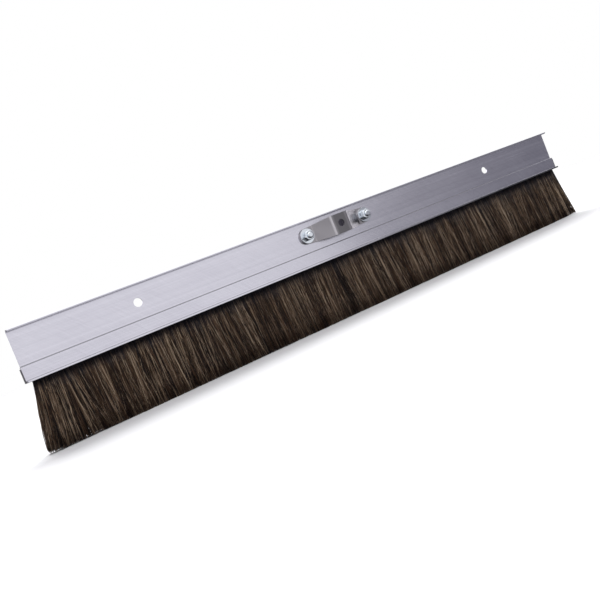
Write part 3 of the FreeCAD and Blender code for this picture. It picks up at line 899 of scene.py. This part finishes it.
def make_hair_finish():
    """Hair coloured by two numbers stored on it: its own tone, and the way along it. Near the
    roots every hair is painted nearly black, as shade."""
    material, tree, shader = new_finish("horsehair")
    ramp = tree.nodes.new("ShaderNodeValToRGB")
    elements = ramp.color_ramp.elements
    while len(elements) < len(HAIR_COLOURS):
        elements.new(0.5)
    for element, (place, colour) in zip(elements, HAIR_COLOURS):
        element.position = place
        element.color = (*colour, 1.0)
    tree.links.new(read_attribute(tree, "tone"), ramp.inputs["Fac"])
    # Painted shade: the root colour fades out over the first part of the way along.
    less_shade = ramp_between(tree, read_attribute(tree, "along"), *SHADED_PART)
    less_shade = maths(tree, "ADD", maths(tree, "MULTIPLY", less_shade, SHADE_LIFT), 1 - SHADE_LIFT)
    colour = blend_colours(tree, less_shade, ROOT_SHADE_COLOUR, ramp.outputs["Color"])
    tree.links.new(colour, shader.inputs["Base Color"])
    shader.inputs["Roughness"].default_value = 0.42
    shader.inputs["Specular IOR Level"].default_value = 0.28
    return material


hair_finish = make_hair_finish()
print("hair finish:", hair_finish.name, "with", len(HAIR_COLOURS), "colours")


# %% [markdown]
# ## From lines to rods
#
# A ring of three points at each level makes a rod, four-sided faces join the rings, and a triangle
# closes each end. A curve with a bevel would give the same rods, but one curve object cannot store a
# tone for each hair. The brush is split into pieces side by side, so that no mesh is too heavy.

# %% Make the hairs
TIP_SHRINK = np.array([1.0, 1.0, 0.95, 0.85, 0.6])
SLIVER = 0.006


def hair_mesh(name, line, spin):
    """One mesh with a thin three-sided rod round each line, closed at both ends."""
    count, levels = line.shape[:2]
    angle = spin[:, None] + 2 * np.pi * np.arange(SIDES)[None, :] / SIDES
    ring = np.stack([np.cos(angle), np.sin(angle), np.zeros_like(angle)], 2)
    radius = HAIR_RADIUS * TIP_SHRINK
    points = line[:, :, None, :] + ring[:, None, :, :] * radius[None, :, None, None]
    base = np.arange(count)[:, None, None] * levels * SIDES
    level = np.arange(levels - 1)[None, :, None] * SIDES
    side = np.arange(SIDES)[None, None, :]
    after = (side + 1) % SIDES
    upper = base + level
    lower = upper + SIDES
    quads = np.stack([upper + side, lower + side, lower + after, upper + after], 3).reshape(-1, 4)
    bottom = (levels - 1) * SIDES
    first = base[:, :, 0]
    caps = np.concatenate([first + np.array([0, 1, 2]), first + bottom + np.array([0, 2, 1])])
    mesh = bpy.data.meshes.new(name)
    mesh.vertices.add(count * levels * SIDES)
    mesh.vertices.foreach_set("co", points.astype(np.float32).ravel())
    corners = np.concatenate([quads.ravel(), caps.ravel()]).astype(np.int32)
    sizes = np.concatenate([np.full(len(quads), 4), np.full(len(caps), 3)]).astype(np.int32)
    starts = np.concatenate([[0], np.cumsum(sizes)[:-1]]).astype(np.int32)
    mesh.loops.add(len(corners))
    mesh.loops.foreach_set("vertex_index", corners)
    mesh.polygons.add(len(sizes))
    mesh.polygons.foreach_set("loop_start", starts)
    mesh.update(calc_edges=True)
    mesh.validate()
    mesh.shade_smooth()
    return mesh


def store_tones(mesh, x, tone):
    """Each hair's tone, and the way along it, which runs slower where the painted root shade
    reaches further down."""
    # Painted root shade reaches further down where this is smaller, and more so to the right.
    shade_factor = 0.65 - 0.10 * x / right_root + slow_wave(x, ROOT_SHADE_WAVES)
    reach = np.clip(shade_factor + rng.normal(0, 0.10, len(x)), 0.36, 1.0)
    along = np.repeat(reach[:, None] * LEVELS[None, :], SIDES).astype(np.float32)
    shade = np.repeat(tone, len(LEVELS) * SIDES).astype(np.float32)
    mesh.attributes.new("along", "FLOAT", "POINT").data.foreach_set("value", along)
    mesh.attributes.new("tone", "FLOAT", "POINT").data.foreach_set("value", shade)


def lay_bake_map(mesh):
    """A map on which every hair lies by its tone and the way along it, a sliver wide."""
    vertex = np.empty(len(mesh.loops), np.int32)
    mesh.loops.foreach_get("vertex_index", vertex)
    along = np.empty(len(mesh.vertices), np.float32)
    shade = np.empty(len(mesh.vertices), np.float32)
    mesh.attributes["along"].data.foreach_get("value", along)
    mesh.attributes["tone"].data.foreach_get("value", shade)
    u = shade[vertex] * (1 - SLIVER) + SLIVER * (vertex % SIDES) / (SIDES - 1)
    v = along[vertex] * (1 - SLIVER) + SLIVER * (vertex % SIDES == 1)
    layer = mesh.uv_layers.new(name="OFBake")
    layer.uv.foreach_set("vector", np.stack([u, v], 1).astype(np.float32).ravel())


def make_hair():
    """The whole brush, in several pieces side by side along the head."""
    order = np.argsort(lines[:, 0, 0])
    pieces = []
    for number, part in enumerate(np.array_split(order, HAIR_PIECES), start=1):
        name = f"horsehair_{number}"
        mesh = hair_mesh(name, lines[part], rng.uniform(0, 2 * np.pi, len(part)))
        store_tones(mesh, lines[part, 0, 0], tone[part])
        lay_bake_map(mesh)
        mesh.materials.append(hair_finish)
        piece = bpy.data.objects.new(name, mesh)
        bpy.context.scene.collection.objects.link(piece)
        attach(piece, "root")
        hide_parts("horsehair_fill")
        pieces.append(piece)
    return pieces


hair_pieces = make_hair()
print("hair pieces:", [(piece.name, len(piece.data.polygons)) for piece in hair_pieces])


# %% [markdown]
# ## Nuts and bolts
#
# Each bridge bolt is pushed in from behind, and its threaded end stands out of a nut in front.
# The CAD bolt is a plain rod, so it is made again with a real thread. A Screw modifier turns
# one tooth of the thread round the rod and lifts it by one pitch a turn, a bisect cuts the coil
# square at both ends, and a Boolean with a pointed rod chamfers its tip. Bump could only hint at a
# thread, and its outline would stay straight. The hexagons are six-sided cylinders, cut by a
# turned blank so that their corners are rounded off as on a real nut. A nut's own thread is hidden
# by the bolt in it, so its bore is left plain.

# %% Sizes of the fasteners
THREAD_PITCH = INCH / 18
THREAD_OUTSIDE = 5 / 32 * INCH
THREAD_CORE = THREAD_OUTSIDE - 0.61 * THREAD_PITCH
TURN_STEPS = 40
HEX_FLATS = 0.5 * INCH
HEX_CORNER = HEX_FLATS / math.sqrt(3)
BLANK_SIDES = 72
BLANK_RADIUS = 1.06 * HEX_CORNER
BLANK_FLAT = 0.485 * HEX_FLATS
BORE_GAP = 0.04 * MM
SINK_REACH = 0.7 * MM
SINK_DEPTH = 0.6 * MM
POINT_GAP = 0.2 * MM
POINT_CHAMFER = 1.1 * MM
EDGE_BEVEL = 0.14 * MM
NUT_TURN = {"left": -22, "right": -9}
HEAD_TURN = {"left": -13, "right": -26}
SAME_LEVEL = 1e-6
SMALL_FACE = 5e-6


def select_only(piece):
    """Select one piece and make it the active one."""
    deselect_all()
    piece.select_set(True)
    bpy.context.view_layer.objects.active = piece


def lay_in_place(piece, x, turn):
    """Lay a piece that was made along Z along -Y instead, turned about its axis, at x."""
    lay = Matrix.Rotation(math.radians(90), 4, "X")
    spin = Matrix.Rotation(math.radians(turn), 4, "Z")
    piece.matrix_world = Matrix.Translation((x, 0, 0)) @ lay @ spin
    select_only(piece)
    bpy.ops.object.transform_apply(location=True, rotation=True, scale=True)


def add_cylinder(name, radius, low, high, sides=BLANK_SIDES):
    """A cylinder along Z between two levels."""
    deselect_all()
    bpy.ops.mesh.primitive_cylinder_add(
        vertices=sides, radius=radius, depth=high - low, location=(0, 0, (low + high) / 2)
    )
    bpy.ops.object.transform_apply(location=True)
    piece = bpy.context.object
    piece.name = name
    return piece


def bevel_rim(piece, level, width):
    """Chamfer the round edge that lies at a level."""
    bpy.ops.object.mode_set(mode="EDIT")
    bpy.ops.mesh.select_mode(type="EDGE")
    bpy.ops.mesh.select_all(action="DESELECT")
    bpy.ops.object.mode_set(mode="OBJECT")
    for edge in piece.data.edges:
        ends = [piece.data.vertices[index].co for index in edge.vertices]
        edge.select = all(abs(end.z - level) < SAME_LEVEL for end in ends)
    bpy.ops.object.mode_set(mode="EDIT")
    bpy.ops.mesh.bevel(offset=width, segments=1)
    bpy.ops.object.mode_set(mode="OBJECT")


def combine(piece, other, operation):
    """Boolean of two pieces, after which the second is gone."""
    modifier = piece.modifiers.new("boolean", "BOOLEAN")
    modifier.operation = operation
    modifier.solver = "EXACT"
    modifier.object = other
    select_only(piece)
    bpy.ops.object.modifier_apply(modifier=modifier.name)
    bpy.data.objects.remove(other, do_unlink=True)


def clean_up(piece):
    """Merge doubled points and drop faces without area, which a Boolean may leave."""
    select_only(piece)
    bpy.ops.object.mode_set(mode="EDIT")
    bpy.ops.mesh.select_all(action="SELECT")
    bpy.ops.mesh.remove_doubles(threshold=SMALL_FACE)
    bpy.ops.mesh.dissolve_degenerate(threshold=SMALL_FACE)
    bpy.ops.object.mode_set(mode="OBJECT")
    print(piece.name, "needed repair:", piece.data.validate())


def soften(piece, width):
    """A small bevel on sharp edges, and smooth shading elsewhere."""
    select_only(piece)
    modifier = piece.modifiers.new("bevel", "BEVEL")
    modifier.width = width
    modifier.segments = 2
    modifier.limit_method = "ANGLE"
    modifier.angle_limit = math.radians(38)
    bpy.ops.object.modifier_apply(modifier=modifier.name)
    bpy.ops.object.shade_smooth_by_angle(angle=math.radians(35))


# %% [markdown]
# ## A threaded rod
#
# The outline of one tooth is six points, from core to crest and back, over one pitch. Turned and
# lifted, its last point meets the first one of the turn above, so merging the doubles closes the
# coil. Two more turns than needed leave material to cut at both ends.

# %% Threaded rod
# One tooth, as (radius, share of the pitch).
TOOTH = (
    (THREAD_CORE, 0.0),
    (THREAD_CORE, 0.12),
    (THREAD_OUTSIDE, 0.47),
    (THREAD_OUTSIDE, 0.60),
    (THREAD_CORE, 0.95),
    (THREAD_CORE, 1.0),
)


def add_tooth(start):
    """The outline of one tooth as a string of edges, in the plane of X and Z."""
    deselect_all()
    bpy.ops.mesh.primitive_plane_add(size=1.0)
    rod = bpy.context.object
    bpy.ops.object.mode_set(mode="EDIT")
    bpy.ops.mesh.delete(type="VERT")
    bpy.ops.object.mode_set(mode="OBJECT")
    rod.data.vertices.add(len(TOOTH))
    for vertex, (radius, share) in zip(rod.data.vertices, TOOTH):
        vertex.co = (radius, 0.0, start + share * THREAD_PITCH)
    rod.data.edges.add(len(TOOTH) - 1)
    for number, edge in enumerate(rod.data.edges):
        edge.vertices = (number, number + 1)
    return rod


def add_thread(low, high):
    """A threaded rod along Z: one tooth, turned and lifted, then cut square at both levels."""
    rod = add_tooth(low - THREAD_PITCH)
    screw = rod.modifiers.new("screw", "SCREW")
    screw.screw_offset = THREAD_PITCH
    screw.iterations = math.ceil((high - low) / THREAD_PITCH) + 2
    screw.steps = TURN_STEPS
    screw.render_steps = TURN_STEPS
    screw.use_merge_vertices = True
    screw.merge_threshold = SAME_LEVEL
    bpy.ops.object.modifier_apply(modifier=screw.name)
    bpy.ops.object.mode_set(mode="EDIT")
    bpy.ops.mesh.select_all(action="SELECT")
    bpy.ops.mesh.remove_doubles(threshold=SAME_LEVEL)
    for level, outer in ((low, False), (high, True)):
        bpy.ops.mesh.select_all(action="SELECT")
        bpy.ops.mesh.bisect(
            plane_co=(0, 0, level), plane_no=(0, 0, 1), use_fill=True,
            clear_outer=outer, clear_inner=not outer,
        )
    bpy.ops.mesh.select_all(action="SELECT")
    bpy.ops.mesh.normals_make_consistent(inside=False)
    bpy.ops.object.mode_set(mode="OBJECT")
    return rod


# %% [markdown]
# ## A hexagon with turned corners
#
# A nut is turned before or after its flats are cut, so a shallow cone takes off the ends of its six
# corners. A bevel would chamfer the straight edges instead. Here the hexagon is what it has in
# common with a blank: a wider round disc, whose ends are inset and whose rims are lowered.

# %% Hexagon
def add_hexagon(name, low, high, chamfered):
    """A hexagon along Z, with its corners turned off at the levels named in chamfered."""
    hexagon = add_cylinder(name, HEX_CORNER, low, high, sides=6)
    blank = add_cylinder(name + "_blank", BLANK_RADIUS, low, high)
    reach = BLANK_RADIUS - BLANK_FLAT
    drop = reach * math.tan(math.radians(30))
    for level in chamfered:
        bpy.ops.object.mode_set(mode="EDIT")
        bpy.ops.mesh.select_all(action="DESELECT")
        bpy.ops.object.mode_set(mode="OBJECT")
        for face in blank.data.polygons:
            face.select = len(face.vertices) > 4 and abs(face.center.z - level) < SAME_LEVEL
        bpy.ops.object.mode_set(mode="EDIT")
        bpy.ops.mesh.inset(thickness=reach, use_even_offset=False)
        bpy.ops.object.mode_set(mode="OBJECT")
        inwards = -1 if level == high else 1
        for vertex in blank.data.vertices:
            on_rim = math.hypot(vertex.co.x, vertex.co.y) > HEX_CORNER
            if on_rim and abs(vertex.co.z - level) < SAME_LEVEL:
                vertex.co.z += inwards * drop
    combine(hexagon, blank, "INTERSECT")
    return hexagon


# %% [markdown]
# ## Nuts and bolts from their parts
#
# A nut is a hexagon with a bore and a countersink cut out of it. A bolt is a hexagon for its head,
# joined to the threaded rod. Each is made upright at the origin, where it is easy to measure, and
# laid in place last, turned by its own angle, because no two are tightened to the same place.

# %% Make the nuts and bolts
def make_nut(side, middle):
    """A nut with both ends chamfered and a countersunk bore."""
    low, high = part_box(f"nut_{side}")
    nut = add_hexagon(f"hex_nut_{side}", -high.y, -low.y, (-high.y, -low.y))
    bore = add_cylinder("bore", THREAD_OUTSIDE + BORE_GAP, -high.y - MM, -low.y + MM)
    combine(nut, bore, "DIFFERENCE")
    sink_end = -low.y - SINK_DEPTH
    sink = add_cylinder("sink", THREAD_OUTSIDE + SINK_REACH, sink_end, -low.y + 0.2 * MM)
    bevel_rim(sink, sink_end, SINK_DEPTH)
    combine(nut, sink, "DIFFERENCE")
    soften(nut, EDGE_BEVEL)
    lay_in_place(nut, middle, NUT_TURN[side])
    return nut


def make_bolt(side, middle):
    """A bolt with its head behind the web and its thread standing out in front."""
    low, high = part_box(f"bolt_{side}")
    head_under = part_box(f"back_washer_{side}")[1].y
    head = add_hexagon(f"hex_bolt_{side}", -high.y, -head_under, (-high.y,))
    rod = add_thread(-head_under - 0.5 * MM, -low.y)
    point = add_cylinder("point", THREAD_OUTSIDE + POINT_GAP, -head_under - MM, -low.y)
    bevel_rim(point, -low.y, POINT_CHAMFER)
    combine(rod, point, "INTERSECT")
    soften(head, EDGE_BEVEL)
    combine(head, rod, "UNION")
    clean_up(head)
    bpy.ops.object.shade_smooth_by_angle(angle=math.radians(35))
    lay_in_place(head, middle, HEAD_TURN[side])
    return head


def make_fasteners():
    """Both bolts and both nuts, each in place of its CAD node."""
    for side in ("left", "right"):
        low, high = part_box(f"front_washer_{side}")
        middle = (low.x + high.x) / 2
        for piece, node in ((make_nut(side, middle), "nut"), (make_bolt(side, middle), "bolt")):
            piece.data.materials.clear()
            piece.data.materials.append(zinc_plate)
            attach(piece, "root")
            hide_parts(f"{node}_{side}")
            spans = [round(1000 * span, 1) for span in piece.dimensions]
            print(piece.name, "faces", len(piece.data.polygons), "size in mm", spans)


make_fasteners()
